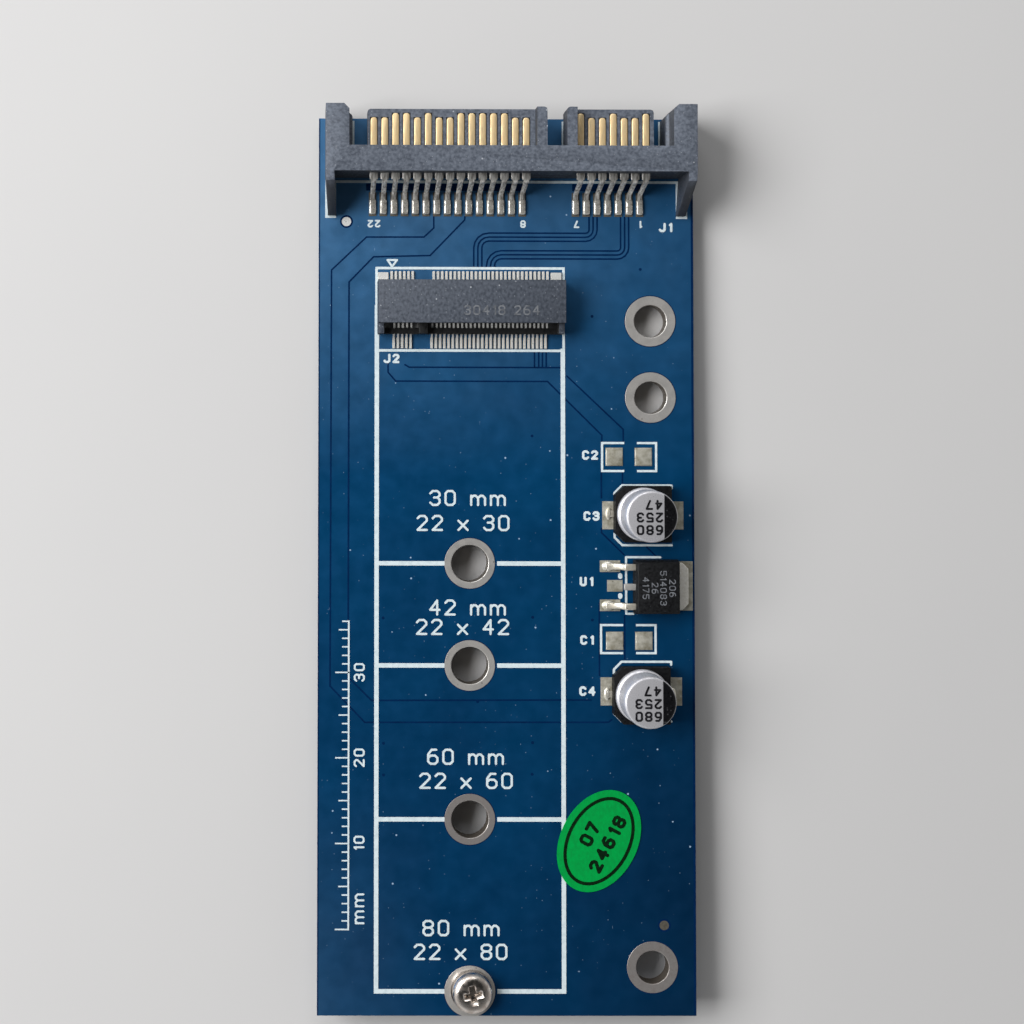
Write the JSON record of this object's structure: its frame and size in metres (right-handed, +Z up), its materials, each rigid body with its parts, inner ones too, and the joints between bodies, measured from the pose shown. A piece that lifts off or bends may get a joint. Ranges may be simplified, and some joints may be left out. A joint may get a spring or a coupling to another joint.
{
  "type": "storage card adapter board",
  "caption": "Long blue circuit board with a keyed drive plug at one end, a card-edge socket behind it and plated screw holes, which lets a small storage card serve as a drive.",
  "frame": {"origin": "under the middle of the whole part, level with the lowest point of the card screw", "axes": "+Z up off the component side, +Y along the board towards the drive plug, +X to the right"},
  "size_m": [0.0446, 0.1064, 0.0094],
  "materials": {
    "solder_mask": "gloss",
    "tinned_copper": "satin",
    "plug_plastic": "matte",
    "gold_contact": "satin",
    "socket_plastic": "matte",
    "tin_contact": "satin",
    "can_aluminium": "satin",
    "base_plastic": "matte",
    "package_resin": "matte",
    "screw_steel": "satin",
    "seal_paper": "satin"
  },
  "bodies": {
    "root": {"circuit_board": "solder_mask", "card_hole_sleeve_1": "tinned_copper", "card_hole_sleeve_2": "tinned_copper", "card_hole_sleeve_3": "tinned_copper", "card_hole_sleeve_4": "tinned_copper", "fixing_hole_sleeve_1": "tinned_copper", "fixing_hole_sleeve_2": "tinned_copper", "fixing_hole_sleeve_3": "tinned_copper", "drive_plug_housing": "plug_plastic", "drive_plug_lands": "tinned_copper", "power_contact_01": "gold_contact", "power_contact_02": "gold_contact", "power_contact_03": "gold_contact", "power_contact_04": "gold_contact", "power_contact_05": "gold_contact", "power_contact_06": "gold_contact", "power_contact_07": "gold_contact", "power_contact_08": "gold_contact", "power_contact_09": "gold_contact", "power_contact_10": "gold_contact", "power_contact_11": "gold_contact", "power_contact_12": "gold_contact", "power_contact_13": "gold_contact", "power_contact_14": "gold_contact", "power_contact_15": "gold_contact", "signal_contact_1": "gold_contact", "signal_contact_2": "gold_contact", "signal_contact_3": "gold_contact", "signal_contact_4": "gold_contact", "signal_contact_5": "gold_contact", "signal_contact_6": "gold_contact", "signal_contact_7": "gold_contact", "card_socket_housing": "socket_plastic", "card_socket_upper_contacts": "tin_contact", "card_socket_lower_contacts": "tin_contact", "card_socket_hold_down_left": "tin_contact", "card_socket_hold_down_right": "tin_contact", "capacitor_c1_lands": "tinned_copper", "capacitor_c2_lands": "tinned_copper", "capacitor_c3_lands": "tinned_copper", "capacitor_c4_lands": "tinned_copper", "capacitor_c3_base": "base_plastic", "capacitor_c3_can": "can_aluminium", "capacitor_c3_terminal_left": "tin_contact", "capacitor_c3_terminal_right": "tin_contact", "capacitor_c4_base": "base_plastic", "capacitor_c4_can": "can_aluminium", "capacitor_c4_terminal_left": "tin_contact", "capacitor_c4_terminal_right": "tin_contact", "regulator_lands": "tinned_copper", "regulator_body": "package_resin", "regulator_tab": "tin_contact", "regulator_lead_lower": "tin_contact", "regulator_lead_upper": "tin_contact", "card_screw": "screw_steel", "card_screw_nut": "screw_steel", "paper_seal": "seal_paper"}
  },
  "joints": []
}
